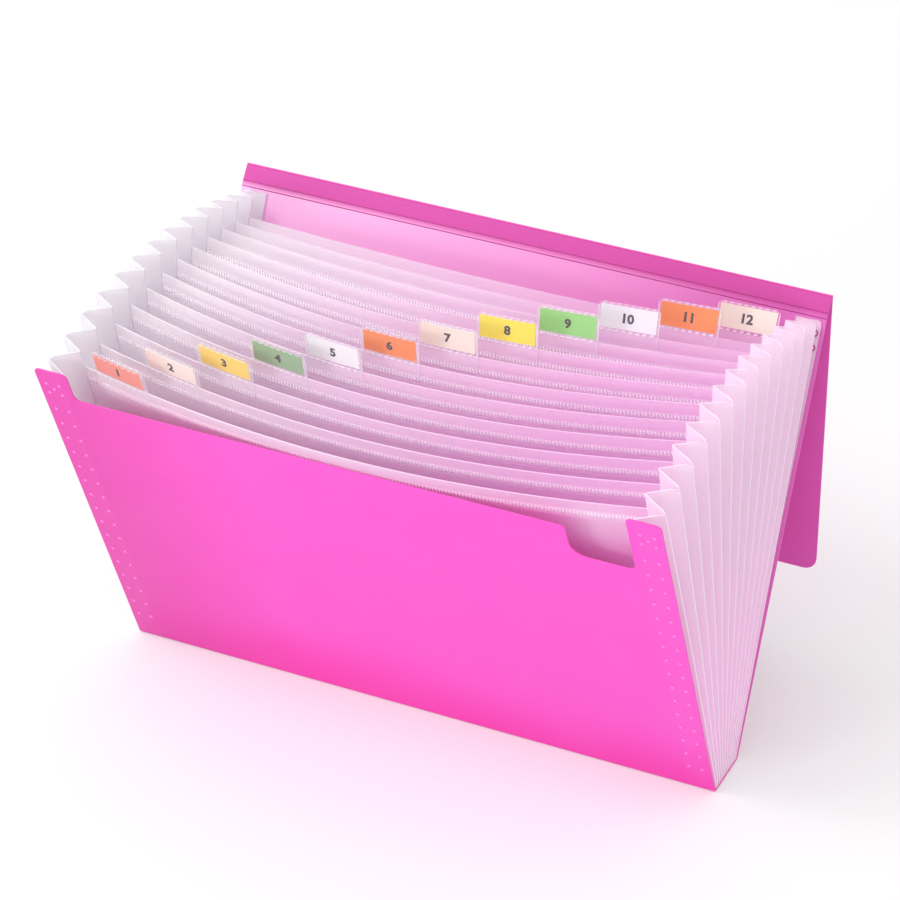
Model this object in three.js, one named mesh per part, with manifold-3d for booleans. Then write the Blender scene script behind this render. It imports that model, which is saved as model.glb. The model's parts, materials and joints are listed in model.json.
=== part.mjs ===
// An expanding file pocket, standing open on its spine, in millimetres with +Z up.
// A pink folded cover holds two pleated side gussets. Twelve clear dividers make thirteen pockets
// between them, and each divider carries a clear sleeve with a coloured label.
// X runs along the width, the front panel faces -Y, and the origin is in the middle of the
// spine's underside.

import * as THREE from 'three';
import { mergeVertices } from 'three/addons/utils/BufferGeometryUtils.js';
import Module from 'manifold-3d';

const wasm = await Module();
wasm.setup();

const { degToRad, lerp } = THREE.MathUtils;

// Cover: one sheet folded into the front panel, the spine, the back panel and a short band
const COVER_WIDTH = 330;
const COVER_SHEET = 0.8;
const SPINE_DEPTH = 30;
const CREASE_RADIUS = 1.2;
const FRONT_TILT = degToRad(22.4);
const FRONT_HEIGHT = 230;
const BACK_TILT = degToRad(25.8);
const BACK_HEIGHT = 232;
const DOUBLE_CREASE = 3;
const BAND_HEIGHT = 9;
const BAND_TILT = degToRad(37);

// Front edge: two ears, a lowered middle and a thumb notch on the right
const EAR_WIDTH = 18;
const EAR_CORNER = 3;
const FRONT_DROP = 20;
const EAR_FOOT_RADIUS = 4;
const NOTCH_WIDTH = 33;
const NOTCH_DEPTH = 22;
const NOTCH_LIP_RADIUS = 2;
const NOTCH_LEFT_RADIUS = 9;
const NOTCH_RIGHT_RADIUS = 4;

// Flap: it folds at the top edge and hangs straight down behind the back panel
const FLAP_LENGTH = 166;
const FLAP_CORNER = 7;
const SCORES = [7.5, 14, 20];
const SCORE_WIDTH = 1.2;
const SCORE_DEPTH = 0.25;

// Both sheets taper to the fold line, so that the flap can turn almost flat both ways
const FOLD_TIP = 0.4;
const FOLD_CLOSING_RUN = 4.2;
const FOLD_OPENING_RUN = 0.8;

// Side gussets: one pleated strip of film on each side
const POCKETS = 13;
const FILM = 0.4;
const GAP = 0.3;
const FOLD_WIDTH = 0.7;
const VALLEY_INSET = 15.5;
const LEAF_WIDTH = 15.2;
const GUSSET_HEIGHT = 228;
const PLEAT_CORNER = 6;
const FLANGE_WIDTH = 13.5;
const FLANGE_CORNER = 5;
const FILM_FOOT = 0.9;

// Dividers: film with a folded hem at the top, bowed forward in the middle
const DIVIDER_HEIGHT = 217;
const HEM_HEIGHT = 12;
const HEM_SHEET = 0.7;
const HEM_STEP = 0.3;
const BOW_AT_ENDS = 12;
const BOW_IN_MIDDLE = 12;
const DIVIDER_SPANS = 18;

// Tabs: a clear sleeve astride each divider's top edge, with a paper label in it
const FIRST_TAB_INSET = 23;
const LAST_TAB_INSET = 18.6;
const SLEEVE_WIDTH = 31;
const SLEEVE_HEIGHT = 15;
const SLEEVE_TONGUE = 9;
const SLEEVE_CORNER = 2.5;
const SLEEVE_WALL = 0.3;
const SLEEVE_SEAM_FROM = 0.4;
const SLEEVE_SEAM_TO = 1.3;
const SLEEVE_GRIP = 0.3;
const LABEL_WIDTH = 28.5;
const LABEL_HEIGHT = 12;
const LABEL_SHEET = 0.3;
const LABEL_PLAY = 0.3;

const COVER_COLOUR = 0xff5fd0;
const FILM_COLOUR = 0xeadcf0;
const SLEEVE_COLOUR = 0xf4f0f6;
const LABEL_COLOURS = [
  0xf0705a, 0xf6ded4, 0xf2c44c, 0x8fae86, 0xf4f2f4, 0xf58a3c,
  0xf6ead8, 0xf4e23a, 0x9bd88c, 0xf2f2f6, 0xf3752a, 0xf4ead8,
];

const EDGE_X = COVER_WIDTH / 2;
const VALLEY_X = EDGE_X - VALLEY_INSET;
const CREASE_Z = COVER_SHEET / 2;

// A curved outline gets about one step for each of these angles
const ARC_STEP = degToRad(22.5);

function toManifold(geometry) {
  const bare = geometry.clone();
  bare.deleteAttribute('normal');
  bare.deleteAttribute('uv');
  const merged = mergeVertices(bare, 1e-5);
  return new wasm.Manifold(new wasm.Mesh({
    numProp: 3,
    vertProperties: new Float32Array(merged.attributes.position.array),
    triVerts: new Uint32Array(merged.index.array),
  }));
}

function fromManifold(solid) {
  const mesh = solid.getMesh();
  const geometry = new THREE.BufferGeometry();
  geometry.setAttribute('position', new THREE.BufferAttribute(mesh.vertProperties, 3));
  geometry.setIndex(new THREE.BufferAttribute(mesh.triVerts, 1));
  geometry.computeVertexNormals();
  return geometry;
}

// Points of an arc between two directions round a centre, in a plane
function arcPoints(centre, radius, from, to) {
  const steps = Math.max(2, Math.round(Math.abs(to - from) / ARC_STEP));
  return Array.from({ length: steps + 1 }, (_, i) => {
    const angle = lerp(from, to, i / steps);
    return new THREE.Vector2(centre.x + radius * Math.cos(angle), centre.y + radius * Math.sin(angle));
  });
}

// A path of straight lines with each inner corner replaced by an arc of its own radius
function roundedPath(corners) {
  const points = [];
  corners.forEach(({ at, radius }, i) => {
    if (!radius) {
      points.push(at);
      return;
    }
    const back = corners[i - 1].at.clone().sub(at).normalize();
    const ahead = corners[i + 1].at.clone().sub(at).normalize();
    const half = Math.acos(THREE.MathUtils.clamp(back.dot(ahead), -1, 1)) / 2;
    const centre = back.clone().add(ahead).normalize().multiplyScalar(radius / Math.sin(half)).add(at);
    const start = back.clone().multiplyScalar(radius / Math.tan(half)).add(at).sub(centre);
    const end = ahead.clone().multiplyScalar(radius / Math.tan(half)).add(at).sub(centre);
    const from = Math.atan2(start.y, start.x);
    let turn = Math.atan2(end.y, end.x) - from;
    turn = Math.atan2(Math.sin(turn), Math.cos(turn));
    points.push(...arcPoints(centre, radius, from, from + turn));
  });
  return points;
}

const corner = (x, y, radius = 0) => ({ at: new THREE.Vector2(x, y), radius });

// The path moved sideways, to its left when the distance is positive
function offsetPath(path, distance) {
  return path.map((point, i) => {
    const before = path[Math.max(i - 1, 0)];
    const after = path[Math.min(i + 1, path.length - 1)];
    const arriving = (i === 0 ? after.clone().sub(point) : point.clone().sub(before)).normalize();
    const leaving = (i === path.length - 1 ? arriving.clone() : after.clone().sub(point)).normalize();
    const mitre = arriving.clone().add(leaving).normalize();
    const reach = distance / mitre.dot(arriving);
    return new THREE.Vector2(point.x - mitre.y * reach, point.y + mitre.x * reach);
  });
}

// A section in the YZ plane, extruded along X over the whole width
function extrudeAcross(outline, width) {
  const geometry = new THREE.ExtrudeGeometry(new THREE.Shape(outline), { depth: width, bevelEnabled: false });
  const turned = new THREE.Matrix4().makeBasis(
    new THREE.Vector3(0, 1, 0), new THREE.Vector3(0, 0, 1), new THREE.Vector3(1, 0, 0));
  return geometry.applyMatrix4(turned).translate(-width / 2, 0, 0);
}

// The mid line of the cover's sheet, from the front edge round the spine to the top fold
function coverPath() {
  const upFrom = (start, length, tilt) => new THREE.Vector2(
    start.x + length * Math.sin(tilt), start.y + length * Math.cos(tilt));
  const frontCrease = new THREE.Vector2(-SPINE_DEPTH / 2, CREASE_Z);
  const backCrease = new THREE.Vector2(SPINE_DEPTH / 2, CREASE_Z);
  const frontTop = upFrom(frontCrease, FRONT_HEIGHT, -FRONT_TILT);
  const firstCrease = upFrom(backCrease, BACK_HEIGHT - DOUBLE_CREASE, BACK_TILT);
  const secondCrease = upFrom(firstCrease, DOUBLE_CREASE, (BACK_TILT + BAND_TILT) / 2);
  const topFold = upFrom(secondCrease, BAND_HEIGHT, BAND_TILT);
  const path = roundedPath([
    { at: frontTop },
    { at: frontCrease, radius: CREASE_RADIUS },
    { at: backCrease, radius: CREASE_RADIUS },
    { at: firstCrease },
    { at: secondCrease },
    { at: topFold },
  ]);
  return { path, topFold };
}

const { path: COVER_PATH, topFold: TOP_FOLD } = coverPath();

// The four corners of a sheet's tapered end at a fold. The sheet lies on the line from the fold
// along "away", and "closing" points to the side that faces the other sheet.
function taperedEnd(fold, away, closing) {
  const half = COVER_SHEET / 2;
  const place = (run, rise) => fold.clone().addScaledVector(away, run).addScaledVector(closing, rise);
  return [
    place(FOLD_OPENING_RUN, -half),
    place(FOLD_TIP, -half * FOLD_TIP / FOLD_OPENING_RUN),
    place(FOLD_TIP, half * FOLD_TIP / FOLD_CLOSING_RUN),
    place(FOLD_CLOSING_RUN, half),
  ];
}

// The front panel's upper edge, from its left side to its right, in the panel's own plane
function frontEdge() {
  const top = FRONT_HEIGHT;
  const middle = FRONT_HEIGHT - FRONT_DROP;
  const earX = EDGE_X - EAR_WIDTH;
  const notchX = earX - NOTCH_WIDTH;
  const clear = 10;
  return [
    corner(-EDGE_X, top - clear),
    corner(-EDGE_X, top, EAR_CORNER),
    corner(-earX, top, EAR_CORNER),
    corner(-earX, middle, EAR_FOOT_RADIUS),
    corner(notchX, middle, NOTCH_LIP_RADIUS),
    corner(notchX, middle - NOTCH_DEPTH, NOTCH_LEFT_RADIUS),
    corner(earX, middle - NOTCH_DEPTH, NOTCH_RIGHT_RADIUS),
    corner(earX, top, EAR_CORNER),
    corner(EDGE_X, top, EAR_CORNER),
    corner(EDGE_X, top - clear),
  ];
}

// What the die cuts away above the front panel's edge
function frontCutter() {
  const spare = 10;
  const thickness = 4 * COVER_SHEET;
  const edge = roundedPath(frontEdge());
  const outline = [
    new THREE.Vector2(-EDGE_X - spare, edge[0].y),
    ...edge,
    new THREE.Vector2(EDGE_X + spare, edge[0].y),
    new THREE.Vector2(EDGE_X + spare, FRONT_HEIGHT + spare),
    new THREE.Vector2(-EDGE_X - spare, FRONT_HEIGHT + spare),
  ];
  const up = new THREE.Vector3(0, -Math.sin(FRONT_TILT), Math.cos(FRONT_TILT));
  const across = new THREE.Vector3(1, 0, 0);
  const outward = new THREE.Vector3().crossVectors(across, up);
  const placed = new THREE.Matrix4().makeBasis(across, up, outward)
    .setPosition(new THREE.Vector3(0, -SPINE_DEPTH / 2, CREASE_Z).addScaledVector(outward, -thickness / 2));
  return new THREE.ExtrudeGeometry(new THREE.Shape(outline), { depth: thickness, bevelEnabled: false })
    .applyMatrix4(placed);
}

function coverGeometry() {
  const last = COVER_PATH.length - 1;
  const away = COVER_PATH[last - 1].clone().sub(COVER_PATH[last]).normalize();
  const outside = new THREE.Vector2(-away.y, away.x);
  const sheet = extrudeAcross([
    ...offsetPath(COVER_PATH, COVER_SHEET / 2).slice(0, last),
    ...taperedEnd(TOP_FOLD, away, outside),
    ...offsetPath(COVER_PATH, -COVER_SHEET / 2).slice(0, last).reverse(),
  ], COVER_WIDTH);
  return fromManifold(toManifold(sheet).subtract(toManifold(frontCutter())));
}

// The flap in its own frame: the fold line is the origin and the sheet hangs straight down.
// Its inner face looks to -Y, and the score lines are pressed into its outer face.
function flapGeometry() {
  const half = COVER_SHEET / 2;
  const down = new THREE.Vector2(0, -1);
  const inward = new THREE.Vector2(-1, 0);
  const scored = SCORES.flatMap((at) => [
    new THREE.Vector2(half, -at + SCORE_WIDTH / 2),
    new THREE.Vector2(half - SCORE_DEPTH, -at),
    new THREE.Vector2(half, -at - SCORE_WIDTH / 2),
  ]);
  const sheet = extrudeAcross([
    ...taperedEnd(new THREE.Vector2(), down, inward).reverse(),
    ...scored,
    new THREE.Vector2(half, -FLAP_LENGTH),
    new THREE.Vector2(-half, -FLAP_LENGTH),
  ], COVER_WIDTH);
  const spare = 1;
  const outline = roundedPath([
    corner(-EDGE_X, spare),
    corner(-EDGE_X, -FLAP_LENGTH, FLAP_CORNER),
    corner(EDGE_X, -FLAP_LENGTH, FLAP_CORNER),
    corner(EDGE_X, spare),
  ]);
  const thickness = 4 * COVER_SHEET;
  const stamp = new THREE.ExtrudeGeometry(new THREE.Shape(outline), { depth: thickness, bevelEnabled: false })
    .translate(0, 0, -thickness / 2)
    .rotateX(Math.PI / 2);
  return fromManifold(toManifold(sheet).intersect(toManifold(stamp)));
}

// The fan: a line for each share of the way from the front lining to the back lining.
// "across" moves a point towards the back, square to its line, and "lean" tips the line forward.
const LINING = COVER_SHEET / 2 + GAP + FILM / 2 + FOLD_WIDTH / 2;

function fanPoint(x, share, reach, across = 0, lean = 0) {
  const angle = lerp(-FRONT_TILT, BACK_TILT, share) - lean;
  const foot = lerp(
    -SPINE_DEPTH / 2 + LINING / Math.cos(FRONT_TILT),
    SPINE_DEPTH / 2 - LINING / Math.cos(BACK_TILT),
    share);
  return new THREE.Vector3(
    x,
    foot + reach * Math.sin(angle) + across * Math.cos(angle),
    CREASE_Z + reach * Math.cos(angle) - across * Math.sin(angle));
}

// The outward unit vector of one face of a sheet between two neighbouring lines of points
function faceDirection(along, up) {
  return new THREE.Vector3().crossVectors(along, up).normalize();
}

// A closed sheet made from a grid of mid-surface points, grid[column][row], with a thickness
// for each row. Folds between columns are mitred.
function sheetGeometry(grid, thicknesses) {
  const columns = grid.length;
  const rows = thicknesses.length;
  const offset = grid.map((column, i) => column.map((point, j) => {
    const up = column[Math.min(j + 1, rows - 1)].clone().sub(column[Math.max(j - 1, 0)]);
    const before = grid[Math.max(i - 1, 0)][j];
    const after = grid[Math.min(i + 1, columns - 1)][j];
    const arriving = faceDirection(i === 0 ? after.clone().sub(point) : point.clone().sub(before), up);
    const leaving = faceDirection(i === columns - 1 ? point.clone().sub(before) : after.clone().sub(point), up);
    const mitre = arriving.clone().add(leaving).normalize();
    return mitre.multiplyScalar(thicknesses[j] / 2 / mitre.dot(arriving));
  }));
  const positions = [1, -1].flatMap((side) => grid.flatMap((column, i) => column.flatMap(
    (point, j) => point.clone().addScaledVector(offset[i][j], side).toArray())));
  const at = (side, i, j) => side * columns * rows + i * rows + j;
  const triangles = [];
  const quad = (a, b, c, d) => triangles.push(a, b, c, a, c, d);
  for (let i = 0; i < columns - 1; i += 1) {
    for (let j = 0; j < rows - 1; j += 1) {
      quad(at(0, i, j), at(0, i + 1, j), at(0, i + 1, j + 1), at(0, i, j + 1));
      quad(at(1, i, j), at(1, i, j + 1), at(1, i + 1, j + 1), at(1, i + 1, j));
    }
    quad(at(0, i, 0), at(1, i, 0), at(1, i + 1, 0), at(0, i + 1, 0));
    quad(at(0, i, rows - 1), at(0, i + 1, rows - 1), at(1, i + 1, rows - 1), at(1, i, rows - 1));
  }
  for (let j = 0; j < rows - 1; j += 1) {
    quad(at(0, 0, j), at(0, 0, j + 1), at(1, 0, j + 1), at(1, 0, j));
    quad(at(0, columns - 1, j), at(1, columns - 1, j), at(1, columns - 1, j + 1), at(0, columns - 1, j + 1));
  }
  const geometry = new THREE.BufferGeometry();
  geometry.setAttribute('position', new THREE.Float32BufferAttribute(positions, 3));
  geometry.setIndex(triangles);
  geometry.computeVertexNormals();
  return geometry;
}

// How far a rounded corner lowers an edge at a distance from the corner's side
function cornerDrop(distance, radius) {
  return distance >= radius ? 0 : radius - Math.sqrt(radius ** 2 - (radius - distance) ** 2);
}

const cornerStations = (radius) => [0, radius / 8, radius / 2, radius];

// The pleated strip as columns of points from the front flange to the back flange. A column is
// a function of the reach along the fan, with the height that its top is cut to.
function gussetColumns() {
  const columns = [];
  const addColumn = (pointAt, drop = 0) => columns.push({ pointAt, top: GUSSET_HEIGHT - drop });
  const valley = (pocket, across) => (reach) => fanPoint(VALLEY_X, pocket / POCKETS, reach, across);
  const peak = (pocket, across) => (reach) => {
    const half = fanPoint(0, 0, reach).distanceTo(fanPoint(0, 1, reach)) / POCKETS / 2;
    const run = Math.sqrt(LEAF_WIDTH ** 2 - Math.max(half - FOLD_WIDTH, 0) ** 2);
    return fanPoint(VALLEY_X + run, (pocket - 0.5) / POCKETS, reach, across);
  };
  const addFlange = (pocket, across, stations) => stations.forEach((distance) => addColumn(
    (reach) => fanPoint(VALLEY_X + FLANGE_WIDTH - distance, pocket / POCKETS, reach, across),
    cornerDrop(distance, FLANGE_CORNER)));
  const addLeaf = (valleyLine, peakLine, stations) => stations.forEach((distance) => addColumn(
    (reach) => peakLine(reach).lerp(valleyLine(reach), distance / LEAF_WIDTH),
    cornerDrop(distance, PLEAT_CORNER)));
  const side = FOLD_WIDTH / 2;
  const stations = cornerStations(PLEAT_CORNER);

  addFlange(0, -side, cornerStations(FLANGE_CORNER));
  for (let pocket = 1; pocket <= POCKETS; pocket += 1) {
    addColumn(valley(pocket - 1, -side));
    addColumn(valley(pocket - 1, side));
    addLeaf(valley(pocket - 1, side), peak(pocket, -side), [...stations].reverse());
    addLeaf(valley(pocket, -side), peak(pocket, side), stations);
  }
  addColumn(valley(POCKETS, -side));
  addColumn(valley(POCKETS, side));
  addFlange(POCKETS, side, cornerStations(FLANGE_CORNER).reverse());
  return columns;
}

function gussetGeometry(hand) {
  const grid = gussetColumns().map(({ pointAt, top }) => [FILM_FOOT, (FILM_FOOT + top) / 2, top]
    .map((reach) => pointAt(reach)));
  if (hand < 0) {
    grid.forEach((column) => column.forEach((point) => point.setX(-point.x)));
    grid.reverse();
  }
  return sheetGeometry(grid, [FILM, FILM, FILM]);
}

const DIVIDER_HALF = VALLEY_X - FILM / 2 - GAP;

// How far a divider's top edge bows forward at x
function dividerBow(index, x) {
  const depth = BOW_AT_ENDS + BOW_IN_MIDDLE * Math.sin(Math.PI * index / POCKETS);
  return depth * (1 - (x / DIVIDER_HALF) ** 2);
}

// A point of a divider, or "forward" of it by a distance square to its face
function dividerPoint(index, x, reach, forward = 0) {
  const surface = (atX, atReach) => fanPoint(
    atX, index / POCKETS, atReach, 0, Math.asin(dividerBow(index, atX) / DIVIDER_HEIGHT));
  const point = surface(x, reach);
  if (forward === 0) {
    return point;
  }
  const along = surface(x + 1, reach).sub(surface(x - 1, reach));
  const up = surface(x, reach + 1).sub(surface(x, reach - 1));
  return point.addScaledVector(faceDirection(along, up), forward);
}

function dividerGeometry(index) {
  const hemFrom = DIVIDER_HEIGHT - HEM_HEIGHT;
  const reaches = [FILM_FOOT, hemFrom - HEM_STEP, hemFrom, DIVIDER_HEIGHT];
  const grid = Array.from({ length: DIVIDER_SPANS + 1 }, (_, i) => reaches.map(
    (reach) => dividerPoint(index, lerp(-DIVIDER_HALF, DIVIDER_HALF, i / DIVIDER_SPANS), reach)));
  return sheetGeometry(grid, [FILM, FILM, HEM_SHEET, HEM_SHEET]);
}

// The tabs step evenly from the first pocket's side to the last one's
const tabX = (index) => lerp(
  FIRST_TAB_INSET - VALLEY_X, VALLEY_X - LAST_TAB_INSET, (index - 1) / (POCKETS - 2));

// A tube between sections with one hole each, closed by a flat cap at both ends
function loftGeometry(stations) {
  const outlineSize = stations[0].outline.length;
  const size = outlineSize + stations[0].hole.length;
  const positions = stations.flatMap(({ outline, hole, place }) => [...outline, ...hole].flatMap(
    (point) => place(point).toArray()));
  const triangles = [];
  const wall = (station, a, b) => {
    const here = station * size;
    const next = here + size;
    triangles.push(here + a, next + a, next + b, here + a, next + b, here + b);
  };
  for (let station = 0; station < stations.length - 1; station += 1) {
    for (let i = 0; i < size; i += 1) {
      const ring = i < outlineSize ? [0, outlineSize] : [outlineSize, size];
      wall(station, i, i + 1 < ring[1] ? i + 1 : ring[0]);
    }
  }
  const last = stations.length - 1;
  THREE.ShapeUtils.triangulateShape(stations[0].outline, [stations[0].hole]).forEach(
    ([a, b, c]) => triangles.push(a, b, c));
  THREE.ShapeUtils.triangulateShape(stations[last].outline, [stations[last].hole]).forEach(
    ([a, b, c]) => triangles.push(last * size + a, last * size + c, last * size + b));
  const geometry = new THREE.BufferGeometry();
  geometry.setAttribute('position', new THREE.Float32BufferAttribute(positions, 3));
  geometry.setIndex(triangles);
  geometry.computeVertexNormals();
  return geometry;
}

// The sleeve's section across its width: two walls astride the divider's hem, a seam above the
// hem, the label's slot and the fold that closes the top
function sleeveSection(top) {
  const grip = HEM_SHEET / 2 + SLEEVE_GRIP;
  const outer = grip + SLEEVE_WALL;
  const slot = LABEL_SHEET / 2 + LABEL_PLAY;
  const point = (forward, height) => new THREE.Vector2(forward, height);
  return {
    outline: [
      point(-outer, -SLEEVE_TONGUE), point(-grip, -SLEEVE_TONGUE), point(-grip, SLEEVE_SEAM_FROM),
      point(grip, SLEEVE_SEAM_FROM), point(grip, -SLEEVE_TONGUE), point(outer, -SLEEVE_TONGUE),
      point(outer, top), point(-outer, top),
    ],
    hole: [
      point(-slot, SLEEVE_SEAM_TO), point(-slot, top - SLEEVE_WALL),
      point(slot, top - SLEEVE_WALL), point(slot, SLEEVE_SEAM_TO),
    ],
  };
}

function sleeveGeometry(index) {
  const corners = cornerStations(SLEEVE_CORNER);
  const middle = SLEEVE_WIDTH / 2;
  const distances = [...corners, (SLEEVE_CORNER + middle) / 2, middle];
  const offsets = [
    ...distances.map((distance) => [distance - middle, cornerDrop(distance, SLEEVE_CORNER)]),
    ...distances.slice(0, -1).reverse().map((distance) => [middle - distance, cornerDrop(distance, SLEEVE_CORNER)]),
  ];
  return loftGeometry(offsets.map(([offset, drop]) => ({
    ...sleeveSection(SLEEVE_HEIGHT - drop),
    place: (point) => dividerPoint(index, tabX(index) + offset, DIVIDER_HEIGHT + point.y, point.x),
  })));
}

function labelGeometry(index) {
  const foot = DIVIDER_HEIGHT + SLEEVE_SEAM_TO + GAP;
  const spans = 4;
  const grid = Array.from({ length: spans + 1 }, (_, i) => [foot, foot + LABEL_HEIGHT].map(
    (reach) => dividerPoint(index, tabX(index) + LABEL_WIDTH * (i / spans - 0.5), reach)));
  return sheetGeometry(grid, [LABEL_SHEET, LABEL_SHEET]);
}

function piece(name, geometry, colour, roughness) {
  const material = new THREE.MeshStandardMaterial({ color: colour, roughness, metalness: 0 });
  const mesh = new THREE.Mesh(geometry, material);
  mesh.name = name;
  return mesh;
}

const filePocket = new THREE.Group();

filePocket.add(piece('cover', coverGeometry(), COVER_COLOUR, 0.4));

const flap = piece('flap', flapGeometry(), COVER_COLOUR, 0.4);
flap.position.set(0, TOP_FOLD.x, TOP_FOLD.y);
filePocket.add(flap);

filePocket.add(piece('gusset_left', gussetGeometry(-1), FILM_COLOUR, 0.35));
filePocket.add(piece('gusset_right', gussetGeometry(1), FILM_COLOUR, 0.35));

for (let index = 1; index < POCKETS; index += 1) {
  const number = String(index).padStart(2, '0');
  filePocket.add(piece(`divider_${number}`, dividerGeometry(index), FILM_COLOUR, 0.35));
  filePocket.add(piece(`tab_sleeve_${number}`, sleeveGeometry(index), SLEEVE_COLOUR, 0.2));
  filePocket.add(piece(`tab_label_${number}`, labelGeometry(index), LABEL_COLOURS[index - 1], 0.8));
}

export default filePocket;
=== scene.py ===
# %% [markdown]
# # An expanding file pocket
# The object is one sheet of pink polypropylene, folded into a pocket, with pleated sides and
# twelve dividers of clear film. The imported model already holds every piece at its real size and
# place. This lesson gives those pieces their surfaces, adds the marks that the welding tools
# leave, puts numbers on the labels, and lights the whole like a shop photograph.

# %% Load the frame
import json
import math

import bmesh
import bpy
from mathutils import Matrix, Vector


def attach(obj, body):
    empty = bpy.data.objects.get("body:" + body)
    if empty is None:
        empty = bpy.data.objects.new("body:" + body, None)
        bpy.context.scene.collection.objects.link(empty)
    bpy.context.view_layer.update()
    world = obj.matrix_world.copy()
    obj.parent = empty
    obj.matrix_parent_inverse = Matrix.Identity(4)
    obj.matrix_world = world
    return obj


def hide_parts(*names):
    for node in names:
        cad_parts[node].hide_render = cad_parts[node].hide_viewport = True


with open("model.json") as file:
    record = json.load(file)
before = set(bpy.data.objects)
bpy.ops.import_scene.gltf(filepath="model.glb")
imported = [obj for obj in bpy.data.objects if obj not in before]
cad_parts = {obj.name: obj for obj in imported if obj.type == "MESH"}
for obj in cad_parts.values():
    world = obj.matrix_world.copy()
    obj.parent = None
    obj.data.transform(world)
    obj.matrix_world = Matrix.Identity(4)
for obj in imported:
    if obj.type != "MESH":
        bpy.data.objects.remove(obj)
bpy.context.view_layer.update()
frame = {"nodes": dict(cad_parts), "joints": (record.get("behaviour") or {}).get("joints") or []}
NODES = frame["nodes"]
MM = 0.001
print("pieces in the frame:", len(NODES))

# %% [markdown]
# ## The camera
# The photograph shows little perspective, so the lens is long and far away. It looks down from
# the front and a little from the right. The place and the lens were found by matching the
# corners of the cover, so they are written as plain sizes here.

# %% Camera
AIM = Vector((17.65, -15.0, 164.16)) * MM
CAMERA_DISTANCE = 1878.9 * MM
CAMERA_AZIMUTH = math.radians(25.11)
CAMERA_ELEVATION = math.radians(32.57)
LENS_MM = 152.26


def direction(azimuth, elevation):
    """The unit vector towards something seen at that angle. Azimuth 0 is in front of the object."""
    flat = math.cos(elevation)
    return Vector((math.sin(azimuth) * flat, -math.cos(azimuth) * flat, math.sin(elevation)))


def look_from(obj, place, target):
    """Puts a camera or a lamp at a place and turns it to a target."""
    obj.location = place
    obj.rotation_euler = (target - place).to_track_quat("-Z", "Y").to_euler()
    bpy.context.scene.collection.objects.link(obj)


camera_data = bpy.data.cameras.new("camera")
camera_data.lens = LENS_MM
camera = bpy.data.objects.new("camera", camera_data)
look_from(camera, AIM + CAMERA_DISTANCE * direction(CAMERA_AZIMUTH, CAMERA_ELEVATION), AIM)
bpy.context.scene.camera = camera
print("camera at", [round(value, 3) for value in camera.location])

# %% [markdown]
# ## Two helpers for materials
# Colours are written as the hex values that a paint program shows, and one function turns them
# into the linear light that shaders work with. Another function adds a shader node with its
# settings and its links, so that a material reads as a short recipe.

# %% Colours and nodes
# Where the mix node keeps its share and its two colours among its inputs and outputs.
MIX_SHARE = 0
MIX_FIRST = 6
MIX_SECOND = 7
MIX_RESULT = 2


def linear(code):
    """The linear colour of an sRGB hex number, with full alpha."""
    shares = [(code >> shift & 255) / 255 for shift in (16, 8, 0)]
    return [s / 12.92 if s <= 0.04045 else ((s + 0.055) / 1.055) ** 2.4 for s in shares] + [1.0]


def add(tree, kind, inputs=None, **settings):
    """Adds a node. Settings are its properties, and inputs are values or outputs of other nodes."""
    node = tree.nodes.new(kind)
    for name, value in settings.items():
        setattr(node, name, value)
    for key, value in (inputs or {}).items():
        if isinstance(value, bpy.types.NodeSocket):
            tree.links.new(value, node.inputs[key])
        else:
            node.inputs[key].default_value = value
    return node


def new_material(name):
    """An empty node material and its tree."""
    material = bpy.data.materials.new(name)
    material.use_nodes = True
    material.node_tree.nodes.clear()
    return material, material.node_tree


def finish_material(tree, shader):
    """Sends a shader to the material's output."""
    add(tree, "ShaderNodeOutputMaterial", {"Surface": shader.outputs[0]})


def noise(tree, place, size_mm, detail):
    """Smooth noise whose features are that many millimetres apart."""
    return add(tree, "ShaderNodeTexNoise", {
        "Vector": place, "Scale": 1 / (size_mm * MM), "Detail": detail})


def blend(tree, share, first, second):
    """A mix of two colours. Share 0 is all the first and 1 is all the second."""
    return add(tree, "ShaderNodeMix", {
        MIX_SHARE: share, MIX_FIRST: first, MIX_SECOND: second}, data_type="RGBA")


print("linear pink:", [round(value, 3) for value in linear(0xFF5FD0)])

# %% [markdown]
# ## Pink polypropylene sheet
# The cover is extruded polypropylene, run between a polished and a matt roller. It is translucent, so
# what lies behind it and how it is lit change its colour, and the material paints that light and shade
# by place. Painted shade deepens the pink near the spine and darkens the left of the front panel. The
# back panel's inside is painted paler, as it is lit, with a painted highlight that is palest at its
# left. Painted shade makes the narrow band under the top fold the deepest. The sheet is a little paler
# over the clear flanges at its sides. These pinks are painted as they look with the flap hanging back,
# so they stay where they are when the flap closes. The rollers leave a fine grain and a slow ripple that
# soften reflections. The cut edges look stronger in colour.

# %% Cover materials
FRONT_PINK = 0xFF58D2
# Painted shade: the deeper pink towards the spine.
FOOT_SHADE_PINK = 0xFF38C0
SHADED_PINK = 0xE444AE
FLANGE_PINK = 0xFF76D6
# Painted light on the back panel's inside, with a painted highlight that is palest at its left.
BACK_LIT_PINK = 0xE47AC8
BACK_HIGHLIGHT_PINK = 0xFABAE6
# Painted shade of the band under the top fold.
BAND_SHADE_PINK = 0xCC48A2
FLAP_PINK = 0xFF7EDC
FLAP_DEEP_PINK = 0xF468CA
COVER_EDGE = 0xE84FB0
# Painted shade in the scores, and also the dark welds of the rear flange.
SCORE_SHADE_AND_RIM_PINK = 0xB02A80
# Paler pink, a painted highlight on the weld dots.
WELD_HIGHLIGHT_PINK = 0xFF84DC
FOOT_SHADE_FROM = 20.0
FOOT_SHADE_BELOW = 75.0
FOOT_SHADE_WANDER = 40.0
SHADED_FROM_X = -60.0
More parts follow.
